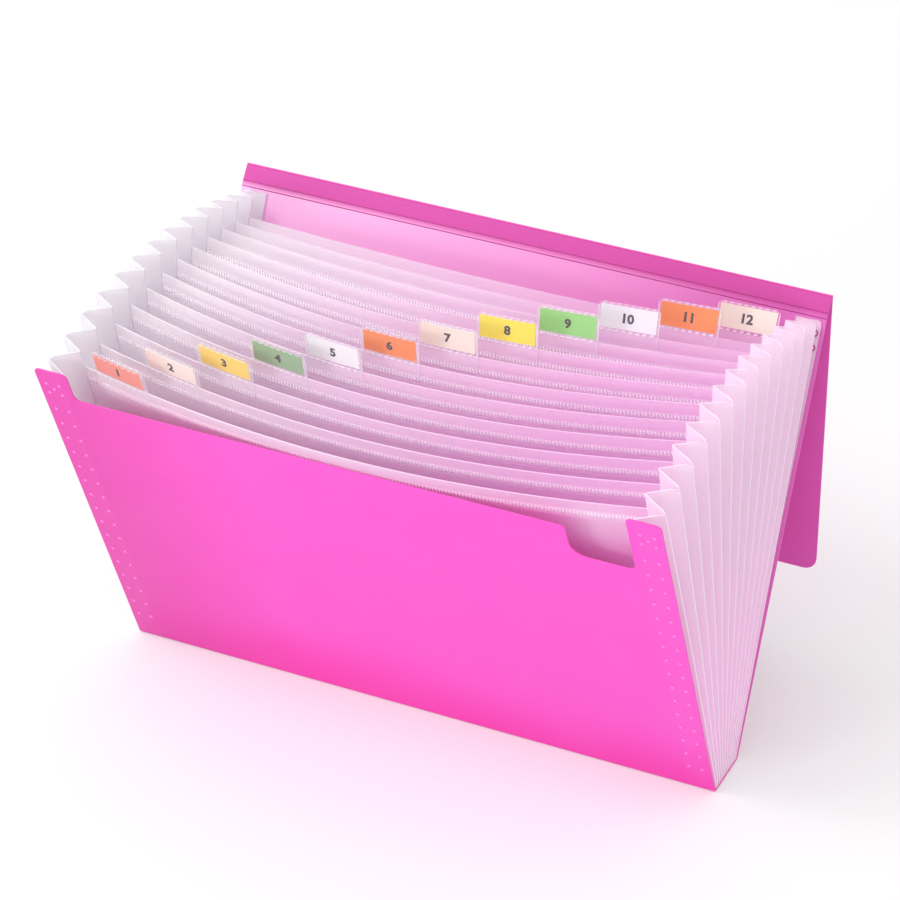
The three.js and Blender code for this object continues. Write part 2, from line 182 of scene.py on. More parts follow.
# Where the back panel's painted highlight fades, from left to right.
HIGHLIGHT_FROM_X = -130.0
HIGHLIGHT_TO_X = 130.0
FLANGE_EDGE_X = 150.8
FLANGE_BLUR = 0.5
FLANGE_STRENGTH = 0.08
BACK_FROM_Y = 5.0
BACK_TO_Y = 30.0
BAND_FOOT_Z = 206.3
BAND_BLUR = 3.0
COVER_HALF = 165.0
CLOUD_SIZE = 60.0
RIPPLE_SIZE = 28.0
RIPPLE_DEPTH = 0.3
# The real grain is about 0.1 mm. It is drawn coarser, or it wouldn't show.
GRAIN_SIZE = 0.7
GRAIN_DEPTH = 0.05
TEAR_SIZE = 1.5
PLASTIC_IOR = 1.49
# How far red, green and blue light spreads inside the sheet, as shares of the first size.
SPREAD_SIZE = 1.5
SPREAD_SHARES = (1.0, 0.35, 0.8)


def object_place(tree):
    """The Object coordinates, and their three axes."""
    place = add(tree, "ShaderNodeTexCoord").outputs["Object"]
    return place, add(tree, "ShaderNodeSeparateXYZ", {"Vector": place}).outputs


def sheet_skin(tree, place, colour):
    """A Principled shader for the rolled sheet, with its grain, ripple and translucency."""
    ripple = noise(tree, place, RIPPLE_SIZE, 0.0)
    wave = add(tree, "ShaderNodeBump", {
        "Height": ripple.outputs[0], "Strength": 0.25, "Distance": RIPPLE_DEPTH * MM})
    grain = noise(tree, place, GRAIN_SIZE, 2.0)
    skin = add(tree, "ShaderNodeBump", {
        "Height": grain.outputs[0], "Normal": wave.outputs[0],
        "Strength": 0.12, "Distance": GRAIN_DEPTH * MM})
    gloss = add(tree, "ShaderNodeMapRange", {
        "Value": ripple.outputs[0], "To Min": 0.36, "To Max": 0.46})
    return add(tree, "ShaderNodeBsdfPrincipled", {
        "Base Color": colour, "Roughness": gloss.outputs[0],
        "IOR": PLASTIC_IOR, "Normal": skin.outputs[0],
        "Specular IOR Level": 0.3, "Subsurface Weight": 0.2,
        "Subsurface Radius": SPREAD_SHARES, "Subsurface Scale": SPREAD_SIZE * MM})


def cover_sheet_material():
    """The cover's sheet, with painted shade from the deep pink at its foot to the dark band at its top,
    and painted light on the back panel.
    """
    material, tree = new_material("pink polypropylene sheet")
    place, axes = object_place(tree)
    # Painted shade: a deeper pink towards the foot, with a wandering edge.
    cloud = noise(tree, place, CLOUD_SIZE, 1.0)
    height = add(tree, "ShaderNodeMath", {
        0: cloud.outputs[0], 1: FOOT_SHADE_WANDER * MM, 2: axes["Z"]}, operation="MULTIPLY_ADD")
    rise = add(tree, "ShaderNodeMapRange", {
        "Value": height.outputs[0], "From Min": FOOT_SHADE_FROM * MM, "From Max": FOOT_SHADE_BELOW * MM},
        interpolation_type="SMOOTHSTEP")
    front = blend(tree, rise.outputs[0], linear(FOOT_SHADE_PINK), linear(FRONT_PINK))
    away = add(tree, "ShaderNodeMapRange", {
        "Value": axes["X"], "From Min": SHADED_FROM_X * MM, "From Max": -COVER_HALF * MM})
    shaded = blend(tree, away.outputs[0], front.outputs[MIX_RESULT], linear(SHADED_PINK))
    side = add(tree, "ShaderNodeMath", {0: axes["X"]}, operation="ABSOLUTE")
    flange = add(tree, "ShaderNodeMapRange", {
        "Value": side.outputs[0], "From Min": FLANGE_EDGE_X * MM,
        "From Max": (FLANGE_EDGE_X + FLANGE_BLUR) * MM, "To Max": FLANGE_STRENGTH})
    lined = blend(tree, flange.outputs[0], shaded.outputs[MIX_RESULT], linear(FLANGE_PINK))
    # Painted light on the back panel's inside, with a painted highlight palest at its left.
    across = add(tree, "ShaderNodeMapRange", {
        "Value": axes["X"], "From Min": HIGHLIGHT_FROM_X * MM, "From Max": HIGHLIGHT_TO_X * MM})
    back = blend(tree, across.outputs[0], linear(BACK_HIGHLIGHT_PINK), linear(BACK_LIT_PINK))
    behind = add(tree, "ShaderNodeMapRange", {
        "Value": axes["Y"], "From Min": BACK_FROM_Y * MM, "From Max": BACK_TO_Y * MM})
    whole = blend(
        tree, behind.outputs[0], lined.outputs[MIX_RESULT], back.outputs[MIX_RESULT])
    # Painted shade in the band under the top fold.
    band = add(tree, "ShaderNodeMapRange", {
        "Value": axes["Z"], "From Min": BAND_FOOT_Z * MM,
        "From Max": (BAND_FOOT_Z + BAND_BLUR) * MM})
    upper = add(tree, "ShaderNodeMath", {0: band.outputs[0], 1: behind.outputs[0]}, operation="MULTIPLY")
    colour = blend(tree, upper.outputs[0], whole.outputs[MIX_RESULT], linear(BAND_SHADE_PINK))
    finish_material(tree, sheet_skin(tree, place, colour.outputs[MIX_RESULT]))
    return material


def flap_sheet_material():
    """The flap's sheet, with slow clouds of a deeper pink."""
    material, tree = new_material("pink polypropylene flap")
    place, _ = object_place(tree)
    cloud = noise(tree, place, CLOUD_SIZE, 1.0)
    colour = blend(tree, cloud.outputs[0], linear(FLAP_PINK), linear(FLAP_DEEP_PINK))
    finish_material(tree, sheet_skin(tree, place, colour.outputs[MIX_RESULT]))
    return material


def pressed_pink_material(name, code):
    """Cut, scored or welded polypropylene, which the tool leaves glossy in places. The dark pink of the
    scores is painted shade, and the paler pink of the weld dots a painted highlight.
    """
    material, tree = new_material(name)
    place, _ = object_place(tree)
    tear = noise(tree, place, TEAR_SIZE, 2.0)
    gloss = add(tree, "ShaderNodeMapRange", {"Value": tear.outputs[0], "To Min": 0.25, "To Max": 0.5})
    finish_material(tree, add(tree, "ShaderNodeBsdfPrincipled", {
        "Base Color": linear(code), "Roughness": gloss.outputs[0], "IOR": PLASTIC_IOR}))
    return material


COVER_SHEET_LOOK = cover_sheet_material()
FLAP_SHEET_LOOK = flap_sheet_material()
COVER_EDGE_LOOK = pressed_pink_material("cut edge of pink sheet", COVER_EDGE)
SCORE_SHADE_AND_RIM_LOOK = pressed_pink_material("score shade and weld rim pink", SCORE_SHADE_AND_RIM_PINK)
WELD_HIGHLIGHT_LOOK = pressed_pink_material("weld dots with painted highlight", WELD_HIGHLIGHT_PINK)
print("cover materials:", COVER_SHEET_LOOK.name, "and", COVER_EDGE_LOOK.name)

# %% [markdown]
# ## Milky film
# The gussets and the dividers are uncoloured polypropylene film. It lets part of the light through and
# spreads the rest, which is why stacked layers look white. The pink light that the cover passes to them,
# more on the right where it comes through the back panel, is painted into their colour, from a clear
# tint at the left to a pinker one at the right. Alpha gives the part that goes straight through. Each
# solid has two faces, so a ray meets it twice. A small emission, a painted glow, stands for light that
# scatters through many layers, which would take far more bounces to trace. Real film gives off none. Cut
# edges and folds are stressed and turn white, so they get a film of their own.

# %% Film materials
# The second tint of each pair holds painted pink light from the cover, which grows from left to right.
GUSSET_TINT_AND_PINK_LIGHT = (0xF3F1F5, 0xFFECFB)
DIVIDER_TINT_AND_PINK_LIGHT = (0xFCF6FB, 0xFFD8F8)
SLEEVE_TINTS = (0xFBF6FC, 0xFBF6FC)
WHITENED_TINT_AND_PINK_LIGHT = (0xF0F0F5, 0xFFF8FF)
KNURLED_TINT_AND_PINK_LIGHT = (0xFFFFFF, 0xFFFAFF)
PINK_LIGHT_FROM_X = -140.0
PINK_LIGHT_TO_X = 80.0
GLOW_PINK = 0xFFC4F2
GLOW_FROM_Z = 40.0
GLOW_TO_Z = 210.0


def film_material(name, tints, alpha, roughness, ripple_size, ripple_depth, glow=(0.0, 0.0)):
    """Film whose colour turns from its own tint at its left to painted pink light at its right, with a
    share of opacity for each face.

    The glow is the emission at the fan's foot and at its top.
    """
    material, tree = new_material(name)
    place, axes = object_place(tree)
    # Painted pink light from the cover, growing from left to right.
    across = add(tree, "ShaderNodeMapRange", {
        "Value": axes["X"], "From Min": PINK_LIGHT_FROM_X * MM, "From Max": PINK_LIGHT_TO_X * MM})
    colour = blend(tree, across.outputs[0], linear(tints[0]), linear(tints[1]))
    ripple = noise(tree, place, ripple_size, 0.0)
    wave = add(tree, "ShaderNodeBump", {
        "Height": ripple.outputs[0], "Strength": 0.5, "Distance": ripple_depth * MM})
    gloss = add(tree, "ShaderNodeMapRange", {
        "Value": ripple.outputs[0], "To Min": roughness - 0.04, "To Max": roughness + 0.06})
    scattered = add(tree, "ShaderNodeMapRange", {
        "Value": axes["Z"], "From Min": GLOW_FROM_Z * MM, "From Max": GLOW_TO_Z * MM,
        "To Min": glow[0], "To Max": glow[1]})
    finish_material(tree, add(tree, "ShaderNodeBsdfPrincipled", {
        "Base Color": colour.outputs[MIX_RESULT], "Roughness": gloss.outputs[0],
        "IOR": PLASTIC_IOR, "Alpha": alpha,
        "Emission Color": linear(GLOW_PINK), "Emission Strength": scattered.outputs[0],
        "Normal": wave.outputs[0]}))
    material.cycles.emission_sampling = "NONE"
    return material


GUSSET_LOOK = film_material("milky gusset film", GUSSET_TINT_AND_PINK_LIGHT, 0.56, 0.3, 18.0, 0.25, (0.09, 0.03))
DIVIDER_LOOK = film_material("milky divider film", DIVIDER_TINT_AND_PINK_LIGHT, 0.6, 0.3, 35.0, 0.2, (0.05, 0.0))
WHITENED_LOOK = film_material("stress whitened film", WHITENED_TINT_AND_PINK_LIGHT, 0.85, 0.35, 6.0, 0.05)
# The knurled film glows evenly: a painted glow that keeps its marks bright.
KNURLED_LOOK = film_material("knurled film", KNURLED_TINT_AND_PINK_LIGHT, 1.0, 0.3, 6.0, 0.05, (0.1, 0.1))
BRUISED_LOOK = film_material("bruised film", KNURLED_TINT_AND_PINK_LIGHT, 0.3, 0.4, 6.0, 0.05)
print("film materials ready")

# %% [markdown]
# ## Clear sleeves and paper labels
# The sleeves are glass clear vinyl, so little of them shows but their edges and their shine. The
# labels are matt card with a fine fibre. Print ink lies on the card as a thin solid layer.

# %% Sleeve, card and ink materials
LABEL_COLOURS = [
    0xF28E7C, 0xFCE8DE, 0xFFDA58, 0x93B78A, 0xFAF8FA, 0xFC8A34,
    0xFCEFDF, 0xFFF01C, 0x96E478, 0xFAFAFE, 0xFF8A18, 0xFBF0DE,
]
INK = 0x241F24
FIBRE_SIZE = 0.5


def card_material(name, code):
    """Matt card of one colour, a little darker along its fibres."""
    material, tree = new_material(name)
    place, _ = object_place(tree)
    fibre = noise(tree, place, FIBRE_SIZE, 3.0)
    darker = [value * 0.94 for value in linear(code)[:3]] + [1.0]
    colour = blend(tree, fibre.outputs[0], darker, linear(code))
    skin = add(tree, "ShaderNodeBump", {
        "Height": fibre.outputs[0], "Strength": 0.3, "Distance": 0.03 * MM})
    finish_material(tree, add(tree, "ShaderNodeBsdfPrincipled", {
        "Base Color": colour.outputs[MIX_RESULT], "Roughness": 0.85,
        "Normal": skin.outputs[0]}))
    return material


SLEEVE_LOOK = film_material("clear vinyl sleeve", SLEEVE_TINTS, 0.07, 0.12, 12.0, 0.05)
SLEEVE_EDGE_LOOK = film_material("edge of clear vinyl", SLEEVE_TINTS, 0.5, 0.2, 12.0, 0.05)
INK_LOOK = card_material("printed ink", INK)
LABEL_LOOKS = [card_material(f"label card {i + 1:02d}", code) for i, code in enumerate(LABEL_COLOURS)]
print("label materials:", len(LABEL_LOOKS))

# %% [markdown]
# ## A merged copy of a solid
# A node's mesh is loose triangles, which can't shade smoothly across a bend. So each node is
# stood for by a copy whose corners are merged. Its broad faces shade smoothly, its folds stay
# crisp, and its cut edges take a second material. Choosing faces by their direction is enough,
# because a sheet's cut edge never faces the way the sheet does.

# %% Copy a sheet
MERGE = 0.005 * MM
CRISP = math.radians(25)
FINE_EDGE = 0.12 * MM


def finish_piece(bm, name, looks, body="pocket", stands_for=()):
    """Turns a bmesh into a piece that rides on a body."""
    mesh = bpy.data.meshes.new(name)
    bm.to_mesh(mesh)
    bm.free()
    for look in looks:
        mesh.materials.append(look)
    piece = bpy.data.objects.new(name, mesh)
    bpy.context.scene.collection.objects.link(piece)
    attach(piece, body)
    if stands_for:
        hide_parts(*stands_for)
    return piece


def soften(bm):
    """Smooth shading, with an edge kept crisp where its faces turn by more than CRISP."""
    for face in bm.faces:
        face.smooth = True
    for edge in bm.edges:
        edge.smooth = edge.calc_face_angle(math.pi) < CRISP


def merged_copy(node):
    """A bmesh of a node with its loose corners merged."""
    bm = bmesh.new()
    bm.from_mesh(NODES[node].data)
    bmesh.ops.remove_doubles(bm, verts=bm.verts, dist=MERGE)
    return bm


def narrowest(face):
    """How wide a face is across its longest side."""
    longest = max(edge.calc_length() for edge in face.edges)
    return 2 * face.calc_area() / longest


# %% [markdown]
# ## The cover and its flap
# On the real pocket the cover and the flap are one sheet with a score between them. The front
# panel's upper edge, its ears and its thumb notch are die cut, so those edges are crisp. A small
# bevel keeps them from looking like paper.

# %% Cover and flap
FRONT_TILT = math.radians(22.4)
BACK_TILT = math.radians(25.8)
CREASE_ARC_HEIGHT = 4 * MM


def is_cover_edge(face):
    """True on the cut edges: the sides, and what the die cut above the front panel."""
    if abs(face.normal.x) > 0.95:
        return True
    centre = face.calc_center_median()
    outward = Vector((0, -math.cos(FRONT_TILT), -math.sin(FRONT_TILT)))
    return centre.y < 0 and centre.z > CREASE_ARC_HEIGHT and abs(face.normal.dot(outward)) < 0.2


def is_flap_edge(face):
    """True on the flap's sides and lower edge."""
    return abs(face.normal.y) < 0.2


def dress_sheet(node, name, is_edge, body, look):
    """Stands for a sheet, with a fine bevel between its faces and its cut edges."""
    bm = merged_copy(node)
    bmesh.ops.dissolve_limit(bm, angle_limit=math.radians(0.5), verts=bm.verts, edges=bm.edges)
    pairs = [edge for edge in bm.edges if edge.is_manifold]
    rims = [edge for edge in pairs if len({is_edge(face) for face in edge.link_faces}) == 2]
    bmesh.ops.bevel(
        bm, geom=rims, offset=FINE_EDGE, offset_type="OFFSET", segments=1, profile=0.5,
        affect="EDGES", material=-1)
    bmesh.ops.triangulate(bm, faces=[face for face in bm.faces if len(face.verts) > 4])
    for face in bm.faces:
        face.material_index = int(is_edge(face))
    soften(bm)
    return finish_piece(bm, name, [look, COVER_EDGE_LOOK], body, [node])


cover = dress_sheet("cover", "cover_sheet", is_cover_edge, "pocket", COVER_SHEET_LOOK)
flap = dress_sheet("flap", "flap_sheet", is_flap_edge, "flap", FLAP_SHEET_LOOK)
print("cover faces:", len(cover.data.polygons), "flap faces:", len(flap.data.polygons))

# %% [markdown]
# ## Gussets and dividers
# A cut edge is as narrow as the film is thick, and a pleat's fold is the one face of the gusset
# that looks straight out to the side, so both are found by that. The real pleats have tighter
# corners than the solids, so the points of each corner move up along the fan until they are.

# %% Film pieces
NARROW = 0.6 * MM
VALLEY_X = 149.5
LEAF_WIDTH = 15.2
LEAF_REACH = 13.2
SOLID_CORNER = 6.0
REAL_CORNER = 3.0
CORNER_FROM_Z = 150.0
FAN_CENTRE = Vector((0, -1.1, -30.4))
POCKETS = 13
DIVIDERS = range(1, POCKETS)


def is_film_edge(face):
    """True on cut edges and on the folds of the pleats."""
    return narrowest(face) < NARROW or abs(face.normal.x) > 0.9


def corner_drop(distance, radius):
    """How far a rounded corner lowers an edge, at a distance from the corner's side."""
    return 0.0 if distance >= radius else radius - math.sqrt(radius ** 2 - (radius - distance) ** 2)


def tighten_corners(bm):
    """Raises the tops of the pleats from the solids' corner radius to the real one."""
    for vert in bm.verts:
        place = vert.co / MM
        outside = abs(place.x) - VALLEY_X
        if place.z > CORNER_FROM_Z and outside > 0:
            distance = max(LEAF_WIDTH * (1 - outside / LEAF_REACH), 0.0)
            lift = corner_drop(distance, SOLID_CORNER) - corner_drop(distance, REAL_CORNER)
            up = (Vector((0, place.y, place.z)) - FAN_CENTRE).normalized()
            vert.co += up * lift * MM


def dress_film(node, name, look, edge_look, shape=None):
    """Stands for a film piece, with a second look on its cut edges and folds."""
    bm = merged_copy(node)
    if shape:
        shape(bm)
    for face in bm.faces:
        face.material_index = int(is_film_edge(face))
    soften(bm)
    return finish_piece(bm, name, [look, edge_look], "pocket", [node])


for hand in ("left", "right"):
    name = f"pleated_gusset_{hand}"
    dress_film(f"gusset_{hand}", name, GUSSET_LOOK, WHITENED_LOOK, tighten_corners)
for index in DIVIDERS:
    number = f"{index:02d}"
    divider_name = f"divider_sheet_{number}"
    sleeve_name = f"clear_sleeve_{number}"
    dress_film(f"divider_{number}", divider_name, DIVIDER_LOOK, WHITENED_LOOK)
    dress_film(f"tab_sleeve_{number}", sleeve_name, SLEEVE_LOOK, SLEEVE_EDGE_LOOK)
    label = NODES[f"tab_label_{number}"]
    label.data.materials.clear()
    label.data.materials.append(LABEL_LOOKS[index - 1])
print("film pieces:", 2 + 2 * len(DIVIDERS))

# %% [markdown]
# ## Places on the sheets
# The sheets spread like a fan from the spine. A share of 0 is the front panel and 1 is the back
# panel, and the dividers lie at even shares between. The functions here give any place on them as
# a frame: its first axis runs along the sheet, its second up it, and its third out of it.

# %% Fan geometry
SPINE_DEPTH = 30.0
SHEET = 0.8
LINING = 1.25
DIVIDER_HEIGHT = 217.0
DIVIDER_HALF = 149.0
BOW_AT_ENDS = 12.0
BOW_IN_MIDDLE = 12.0


def fan_point(x, share, reach, lean=0.0):
    """A point of the fan, at a reach up from the spine, leaning forward by an angle."""
    angle = share * BACK_TILT - (1 - share) * FRONT_TILT - lean
    front_foot = -SPINE_DEPTH / 2 + LINING / math.cos(FRONT_TILT)
    back_foot = SPINE_DEPTH / 2 - LINING / math.cos(BACK_TILT)
    foot = front_foot + (back_foot - front_foot) * share
    return Vector((x, foot + reach * math.sin(angle), SHEET / 2 + reach * math.cos(angle))) * MM


def divider_point(index, x, reach):
    """A point of a divider's middle plane. It bows forward, most in the middle of its width."""
    deepest = BOW_AT_ENDS + BOW_IN_MIDDLE * math.sin(math.pi * index / POCKETS)
    bow = deepest * (1 - (x / DIVIDER_HALF) ** 2)
    return fan_point(x, index / POCKETS, reach, math.asin(bow / DIVIDER_HEIGHT))


def frame_at(origin, along, up, out):
    """A matrix from its origin and its three axes."""
    matrix = Matrix((along, up, out)).transposed().to_4x4()
    matrix.translation = origin
    return matrix


def divider_frame(index, x, reach, forward):
    """A place on a divider's front, moved forward by that many millimetres."""
    along = (divider_point(index, x + 1, reach) - divider_point(index, x - 1, reach)).normalized()
    rough_up = divider_point(index, x, reach + 1) - divider_point(index, x, reach - 1)
    out = along.cross(rough_up).normalized()
    return frame_at(divider_point(index, x, reach) + out * forward * MM, along, out.cross(along), out)


def panel_frame(side, x, reach, outward):
    """A place on the outside of the front panel (side -1) or of the back panel (side 1)."""
    tilt = FRONT_TILT if side < 0 else BACK_TILT
    up = Vector((0, side * math.sin(tilt), math.cos(tilt)))
    out = Vector((0, side * math.cos(tilt), -math.sin(tilt)))
    crease = Vector((x, side * SPINE_DEPTH / 2, SHEET / 2)) * MM
    return frame_at(crease + up * reach * MM + out * outward * MM, up.cross(out), up, out)


print("middle of divider 7:", [round(value, 4) for value in divider_point(7, 0, DIVIDER_HEIGHT)])

# %% [markdown]
# ## Welded margins
# A tool with two rows of small pins joins each gusset to the cover. Each pin leaves a low dome on
# the outside of the sheet: a cross of five in each ear, and two rows from there down to the
# spine. A dome is a sphere pressed flat, half sunk into the sheet.

# %% Weld dots
DOT_RADIUS = 0.95
DOT_RISE = 0.55
DOT_COLUMNS = (153.2, 160.4)
DOT_TOP = 199.0
DOT_PITCH = 12.0
DOT_ROWS = 16
EAR_DOTS = [(153.3, 219.5), (160.5, 219.5), (156.9, 215.9), (153.3, 212.3), (160.5, 212.3)]


def dome(bm, matrix, radius, rise, segments=10):
    """A low dome on a frame's origin, facing along its third axis."""
    bmesh.ops.create_uvsphere(
        bm, u_segments=segments, v_segments=6, radius=1.0,
        matrix=matrix @ Matrix.Diagonal((radius * MM, radius * MM, rise * MM, 1.0)))


def weld_dots(side, name):
    """All the dots of the front panel (side -1) or of the back panel (side 1)."""
    bm = bmesh.new()
    rows = [DOT_TOP - DOT_PITCH * row for row in range(DOT_ROWS)]
    places = EAR_DOTS + [(x, reach) for reach in rows for x in DOT_COLUMNS]
    for hand in (-1, 1):
        for x, reach in places:
            dome(bm, panel_frame(side, hand * x, reach, SHEET / 2), DOT_RADIUS, DOT_RISE)
    soften(bm)
    # The domes' paler pink is a painted highlight.
    return finish_piece(bm, name, [WELD_HIGHLIGHT_LOOK])


weld_dots(-1, "front_weld_dots")
weld_dots(1, "back_weld_dots")
print("weld dots on each panel:", 2 * (len(EAR_DOTS) + DOT_ROWS * len(DOT_COLUMNS)))

# %% [markdown]
# ## The gusset's rear flange
# Inside the back panel the same welds show through the clear flange. Two large ones at the top
# are pressed with a ring tool, which leaves a dark round rim. A small circle, spun once round an
# axis, makes each ring.

# %% Ring welds
RING_REACHES = (221.0, 213.5)
RING_X = 160.5
RING_RADIUS = 1.5
RING_WIRE = 0.35
FLANGE_FACE = -(SHEET / 2 + 0.3 + 0.4)
FLANGE_DOT_REACHES = [200.0 - 11.5 * row for row in range(15)]


def ring(bm, matrix):
    """A ring round a frame's third axis."""
    section = bmesh.ops.create_circle(
        bm, segments=6, radius=RING_WIRE * MM,
        matrix=Matrix.Translation((RING_RADIUS * MM, 0, 0)) @ Matrix.Rotation(math.pi / 2, 4, "X"))
    edges = list({edge for vert in section["verts"] for edge in vert.link_edges})
    before = set(bm.verts) - set(section["verts"])
    bmesh.ops.spin(
        bm, geom=section["verts"] + edges, cent=(0, 0, 0), axis=(0, 0, 1), angle=2 * math.pi, steps=16,
        use_merge=True)
    bmesh.ops.transform(bm, matrix=matrix, verts=[vert for vert in bm.verts if vert not in before])


def flange_welds():
    """The rings and dots on both rear flanges."""
    bm = bmesh.new()
    for hand in (-1, 1):
        for reach in RING_REACHES:
            ring(bm, panel_frame(1, hand * RING_X, reach, FLANGE_FACE))
        for reach in FLANGE_DOT_REACHES:
            dome(bm, panel_frame(1, hand * RING_X, reach, FLANGE_FACE), 0.6, 0.3)
    bmesh.ops.recalc_face_normals(bm, faces=bm.faces)
    soften(bm)
    return finish_piece(bm, "rear_flange_welds", [SCORE_SHADE_AND_RIM_LOOK])


flange = flange_welds()
print("rear flange welds:", len(flange.data.polygons), "faces")

# %% [markdown]
# ## The knurled hem
# Each divider's top is folded over and closed with a toothed wheel. The wheel leaves a row of
# small slanted ovals, under 2 mm apart. Each is a low cone with a flat top, drawn out upwards and
# leaned a little. Between them the film is bruised white, as a thin strip under the ovals.

# %% Knurled bands
KNURL_PITCH = 1.7
KNURL_WIDTH = 0.55
KNURL_HEIGHT = 1.9
KNURL_RISE = 0.5
KNURL_LEAN = math.radians(12)
KNURL_BELOW_TOP = 8.2
BRUISE_HEIGHT = 3.2
BRUISE_RISE = 0.12
BRUISE_STEPS = 40
HEM_SHEET = 0.7


def knurl(bm, matrix):
    """One slanted oval on a frame's origin."""
    size = Matrix.Diagonal((KNURL_WIDTH * MM, KNURL_HEIGHT * MM, KNURL_RISE * MM, 1.0))
    shape = Matrix.Rotation(KNURL_LEAN, 4, "Z") @ size
    bmesh.ops.create_cone(
        bm, cap_ends=True, segments=6, radius1=1.0, radius2=0.45, depth=1.0, matrix=matrix @ shape)


def bruised_strip(bm, index):
    """Wraps a thin closed strip round a divider's hem, a little proud of both of its faces."""
    tall = BRUISE_HEIGHT / 2 * MM
    thick = (HEM_SHEET / 2 + BRUISE_RISE) * MM
    outline = ((-tall, -thick), (-tall, thick), (tall, thick), (tall, -thick))
    corners = [Vector((0, y, z)) for y, z in outline]
    sections = []
    for step in range(BRUISE_STEPS + 1):
        x = (2 * step / BRUISE_STEPS - 1) * (DIVIDER_HALF - 1)
        middle = divider_frame(index, x, DIVIDER_HEIGHT - KNURL_BELOW_TOP, 0)
        sections.append([bm.verts.new(middle @ corner) for corner in corners])
    faces = [bm.faces.new(sections[0]), bm.faces.new(sections[-1])]
    for one, other in zip(sections, sections[1:]):
        for side in range(4):
            following = (side + 1) % 4
            faces.append(bm.faces.new((one[side], other[side], other[following], one[following])))
    bmesh.ops.recalc_face_normals(bm, faces=faces)
    for face in faces:
        face.material_index = 1


def knurled_band(index):
    """The whitened strip of a divider, with its ovals on both faces."""
    bm = bmesh.new()
    bruised_strip(bm, index)
    count = int(2 * (DIVIDER_HALF - 1) / KNURL_PITCH)
    for step in range(count + 1):
        x = (step - count / 2) * KNURL_PITCH
        front = divider_frame(index, x, DIVIDER_HEIGHT - KNURL_BELOW_TOP, HEM_SHEET / 2)
        back = divider_frame(index, x, DIVIDER_HEIGHT - KNURL_BELOW_TOP, -HEM_SHEET / 2)
        knurl(bm, front)
        knurl(bm, back @ Matrix.Rotation(math.pi, 4, "Y"))
    return finish_piece(bm, f"knurled_band_{index:02d}", [KNURLED_LOOK, BRUISED_LOOK])


for index in DIVIDERS:
    band = knurled_band(index)
print("faces in one knurled band:", len(band.data.polygons))

# %% [markdown]
# ## Sleeve seams
# Under each label, and along the fold above it, a seam of short dashes closes the sleeve. The
# dashes are flattened spheres on both walls.

# %% Dashed seams
TAB_FIRST_X = -126.5
TAB_PITCH = 23.4
SLEEVE_WIDTH = 31.0
SLEEVE_HEIGHT = 15.0
SLEEVE_FACE = 0.95
DASHES = 8
DASH_LENGTH = 2.4
DASH_HEIGHT = 0.75
SEAM_RISE = 0.25
SEAM_MARGIN = 1.5
# Each seam's height above the divider, and how tall its dashes are.
SEAMS = ((0.6, DASH_HEIGHT), (SLEEVE_HEIGHT - 0.6, 0.24))


def tab_x(index):
    """The middle of a divider's tab."""
    return TAB_FIRST_X + (index - 1) * TAB_PITCH


def seam_dashes(index):
    """The dashes of both seams of one sleeve, on both walls."""
    bm = bmesh.new()
    pitch = (SLEEVE_WIDTH - 2 * SEAM_MARGIN) / DASHES
    for height, tall in SEAMS:
        for step in range(DASHES):
            x = tab_x(index) + (step - (DASHES - 1) / 2) * pitch
            for facing in (1, -1):
                place = divider_frame(index, x, DIVIDER_HEIGHT + height, facing * SLEEVE_FACE)
                size = Matrix.Diagonal((DASH_LENGTH * MM, tall * MM, SEAM_RISE * MM, 1.0))
                bmesh.ops.create_uvsphere(
                    bm, u_segments=10, v_segments=6, radius=0.5, matrix=place @ size)
    soften(bm)
    return finish_piece(bm, f"sleeve_seam_{index:02d}", [WHITENED_LOOK])


for index in DIVIDERS:
    seam = seam_dashes(index)
print("faces in one sleeve's seams:", len(seam.data.polygons))

# %% [markdown]
# ## Numbers on the labels
# The labels carry plain numbers from 1 to 12, in dark print. A text object is turned into a mesh,
# scaled to the height of the print and laid on the card, just inside the sleeve's front wall.

# %% Numbers
NUMBER_HEIGHT = 5.2
NUMBER_DEPTH = 0.04
NUMBER_WEIGHT = 0.04
LABEL_FOOT = 1.6
LABEL_HEIGHT = 12.0
LABEL_MIDDLE = LABEL_FOOT + LABEL_HEIGHT / 2
LABEL_FACE = 0.17


def number_mesh(text):
    """A mesh of a number, centred on the origin, in millimetres."""
    curve = bpy.data.curves.new("number", "FONT")
    curve.body = text
    curve.align_x = "CENTER"
    curve.offset = NUMBER_WEIGHT
    curve.resolution_u = 4
    writing = bpy.data.objects.new("number", curve)
    bpy.context.scene.collection.objects.link(writing)
    bpy.context.view_layer.update()
    mesh = bpy.data.meshes.new_from_object(writing)
    bpy.data.objects.remove(writing)
    bpy.data.curves.remove(curve)
    return mesh


def printed_number(index):
    """A label's number, as a thin solid that lies on the card."""
    mesh = number_mesh(str(index))
    bm = bmesh.new()
    bm.from_mesh(mesh)
    bpy.data.meshes.remove(mesh)
    bmesh.ops.remove_doubles(bm, verts=bm.verts, dist=1e-5)
    low = min(vert.co.y for vert in bm.verts)
    high = max(vert.co.y for vert in bm.verts)
    left = min(vert.co.x for vert in bm.verts)
    right = max(vert.co.x for vert in bm.verts)
    centred = Matrix.Translation((-(left + right) / 2, -(low + high) / 2, 0))
    size = NUMBER_HEIGHT / (high - low) * MM
    grown = bmesh.ops.extrude_face_region(bm, geom=bm.faces[:])
    top = [part for part in grown["geom"] if isinstance(part, bmesh.types.BMVert)]
    bmesh.ops.translate(bm, vec=(0, 0, NUMBER_DEPTH * MM / size), verts=top)
    bmesh.ops.recalc_face_normals(bm, faces=bm.faces)
    place = divider_frame(index, tab_x(index), DIVIDER_HEIGHT + LABEL_MIDDLE, LABEL_FACE)
    bmesh.ops.transform(bm, matrix=place @ Matrix.Scale(size, 4) @ centred, verts=bm.verts)
    return finish_piece(bm, f"number_{index:02d}", [INK_LOOK])


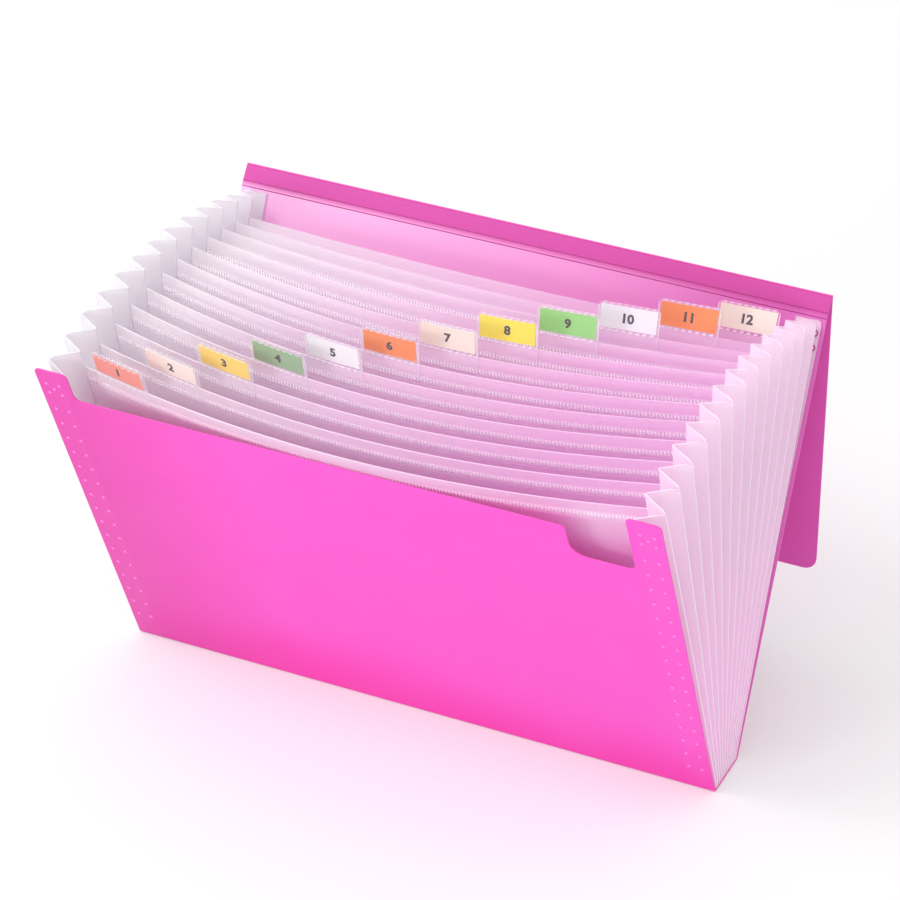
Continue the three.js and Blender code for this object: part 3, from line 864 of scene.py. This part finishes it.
for index in DIVIDERS:
    number = printed_number(index)
print("faces in the last number:", len(number.data.polygons))

# %% [markdown]
# ## Creases of the cover
# Two fine scores run along the bend at the top of the back panel, and the fold above them is one rounded
# crease that the flap turns round. Each score is a thin rod in a dark pink, which is painted shade in
# its groove. A thin rod on the fold line fills the gap between the two solids at every angle of the
# flap, as the real hinge of film does.

# %% Fold bead and score lines
COVER_WIDTH = 330.0
FOLD_BEAD = 0.4
SCORE_BEAD = 0.3
BACK_HEIGHT = 232.0
DOUBLE_CREASE = 3.0
SCORE_SINK = 0.28
SCORE_MARGIN = 0.2
BAND_TILT = math.radians(37)
# The first score bends the sheet half of the way from the back panel's tilt to the band's.
CREASE_TILT = (BACK_TILT + BAND_TILT) / 2


def rod_across(bm, centre, radius, length):
    """A thin rod along X through a point of the YZ plane."""
    bmesh.ops.create_cone(
        bm, cap_ends=True, segments=12, radius1=radius * MM, radius2=radius * MM, depth=length * MM,
        matrix=Matrix.Translation(centre) @ Matrix.Rotation(math.pi / 2, 4, "Y"))


hinge = frame["joints"][0]["pos_m"]
bm = bmesh.new()
rod_across(bm, Vector(hinge), FOLD_BEAD, COVER_WIDTH)
soften(bm)
finish_piece(bm, "top_fold_bead", [COVER_EDGE_LOOK])

bm = bmesh.new()
first = panel_frame(1, 0, BACK_HEIGHT - DOUBLE_CREASE, -SCORE_SINK).translation
up = Vector((0, math.sin(CREASE_TILT), math.cos(CREASE_TILT)))
for centre in (first, first + up * DOUBLE_CREASE * MM):
    rod_across(bm, centre, SCORE_BEAD, COVER_WIDTH - 2 * SCORE_MARGIN)
soften(bm)
# The scores' dark pink is painted shade in their grooves.
finish_piece(bm, "back_score_shade_lines", [SCORE_SHADE_AND_RIM_LOOK])
print("fold line at", [round(value, 4) for value in hinge])

# %% [markdown]
# ## Floor and background
# The photograph has a pure white ground with a soft grey shadow. The floor is white and takes the
# shadow. A little light of its own, which only the camera and reflections see, lifts the open
# floor to white without lighting the object.

# %% Floor and world
FLOOR_SIZE = 12.0
FLOOR_DROP = 0.3
FLOOR_WHITE = 0.68
FLOOR_LIFT = 0.27
WORLD_LIGHT = 0.94


def seen_rays(tree):
    """1 for rays that end in the picture: from the camera, off gloss, or through glass."""
    path = add(tree, "ShaderNodeLightPath").outputs
    seen = path["Is Camera Ray"]
    for kind in ("Is Glossy Ray", "Is Transmission Ray"):
        seen = add(tree, "ShaderNodeMath", {0: seen, 1: path[kind]}, operation="MAXIMUM").outputs[0]
    return seen


def floor_material():
    """White paper, with a little light of its own for the rays that are seen."""
    material, tree = new_material("white studio floor")
    lift = add(tree, "ShaderNodeMath", {0: seen_rays(tree), 1: FLOOR_LIFT}, operation="MULTIPLY")
    glow = add(tree, "ShaderNodeEmission", {"Strength": lift.outputs[0]})
    paper = add(tree, "ShaderNodeBsdfDiffuse", {"Color": [FLOOR_WHITE] * 3 + [1.0]})
    both = add(tree, "ShaderNodeAddShader", {0: paper.outputs[0], 1: glow.outputs[0]})
    finish_material(tree, both)
    return material


bm = bmesh.new()
floor_place = Matrix.Translation((0, 0, -FLOOR_DROP * MM))
bmesh.ops.create_grid(bm, x_segments=1, y_segments=1, size=FLOOR_SIZE / 2, matrix=floor_place)
floor_mesh = bpy.data.meshes.new("floor")
bm.to_mesh(floor_mesh)
bm.free()
floor_mesh.materials.append(floor_material())
floor = bpy.data.objects.new("floor", floor_mesh)
bpy.context.scene.collection.objects.link(floor)

world = bpy.data.worlds.new("studio")
bpy.context.scene.world = world
world.use_nodes = True
world.node_tree.nodes.clear()
WHITE = (1.0, 1.0, 1.0, 1.0)
tree = world.node_tree
soft = add(tree, "ShaderNodeBackground", {"Color": WHITE, "Strength": WORLD_LIGHT})
white = add(tree, "ShaderNodeBackground", {"Color": WHITE, "Strength": 1.0})
sky = add(tree, "ShaderNodeMixShader", {
    0: seen_rays(tree), 1: soft.outputs[0], 2: white.outputs[0]})
add(tree, "ShaderNodeOutputWorld", {"Surface": sky.outputs[0]})
print("floor and world ready")

# %% [markdown]
# ## Lamps
# One large soft lamp from the upper left gives the shadow on the right. A low wide one on the
# front left puts the white sheen on the dividers, which lean back and mirror that side.

# %% Lamps
LAMP_TARGET = Vector((0, 0, 0.1))
LAMPS = {
    "key": {"azimuth": -48, "elevation": 52, "distance": 2.0, "size": 0.9, "power": 12.0},
    "sheen": {"azimuth": -23, "elevation": 14, "distance": 2.2, "size": 0.6, "power": 10.0},
}


def soft_lamp(name, azimuth, elevation, distance, size, power):
    """A round area lamp at an angle and a distance, turned to the object."""
    data = bpy.data.lights.new(name, "AREA")
    data.shape = "DISK"
    data.size = size
    data.energy = power
    lamp = bpy.data.objects.new(name, data)
    towards = direction(math.radians(azimuth), math.radians(elevation))
    look_from(lamp, LAMP_TARGET + distance * towards, LAMP_TARGET)


for name, place in LAMPS.items():
    soft_lamp(name, **place)
print("lamps:", ", ".join(LAMPS))

# %% [markdown]
# ## Finish
# The Standard view keeps colours as they are written. Light has to pass many sheets of film, so it gets
# more bounces than usual.

# %% Finish
DIFFUSE_BOUNCES = 7
CLEAR_BOUNCES = 16
bpy.context.scene.view_settings.view_transform = "Standard"
bpy.context.scene.cycles.diffuse_bounces = DIFFUSE_BOUNCES
bpy.context.scene.cycles.transparent_max_bounces = CLEAR_BOUNCES
